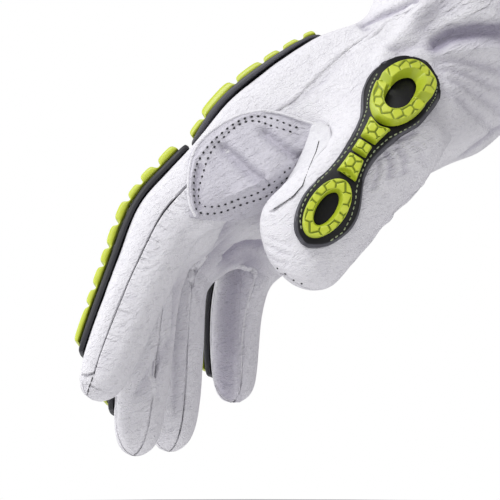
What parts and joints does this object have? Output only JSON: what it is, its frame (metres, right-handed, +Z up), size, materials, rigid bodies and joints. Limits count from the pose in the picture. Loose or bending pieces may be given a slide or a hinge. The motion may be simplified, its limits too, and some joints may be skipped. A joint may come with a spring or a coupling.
{
  "type": "leather work glove",
  "caption": "White leather work glove in worn form, hollow from the cuff, with lime and dark rubber impact guards on fingers, back and thumb.",
  "frame": {"origin": "centre of the wrist, where the hand enters, inside the hollow cuff", "axes": "+X towards the cuff and to the picture's right, +Y away from the camera, +Z up with the fingers hanging down"},
  "size_m": [0.2049, 0.1258, 0.2184],
  "materials": {
    "white_leather": "matt grained",
    "dark_rubber": "matt",
    "lime_rubber": "satin"
  },
  "bodies": {
    "root": {"leather_back": "white_leather", "leather_palm": "white_leather", "leather_thumb_inner": "white_leather", "fourchette_index_middle": "white_leather", "fourchette_middle_ring": "white_leather", "fourchette_ring_little": "white_leather", "crotch_patch": "white_leather", "thumb_guard_base": "dark_rubber", "back_guard_base": "dark_rubber", "finger_guard_base_index": "dark_rubber", "finger_guard_base_middle": "dark_rubber", "finger_guard_base_ring": "dark_rubber", "finger_guard_base_little": "dark_rubber", "thumb_guard_large_ring": "lime_rubber", "thumb_guard_small_ring": "lime_rubber", "thumb_guard_block_1": "lime_rubber", "thumb_guard_block_2": "lime_rubber", "thumb_guard_block_3": "lime_rubber", "back_guard_strip_index": "lime_rubber", "back_guard_strip_middle": "lime_rubber", "back_guard_strip_ring": "lime_rubber", "back_guard_strip_little": "lime_rubber", "finger_guard_strip_index": "lime_rubber", "finger_guard_strip_middle": "lime_rubber", "finger_guard_strip_ring": "lime_rubber", "finger_guard_strip_little": "lime_rubber"}
  },
  "joints": []
}
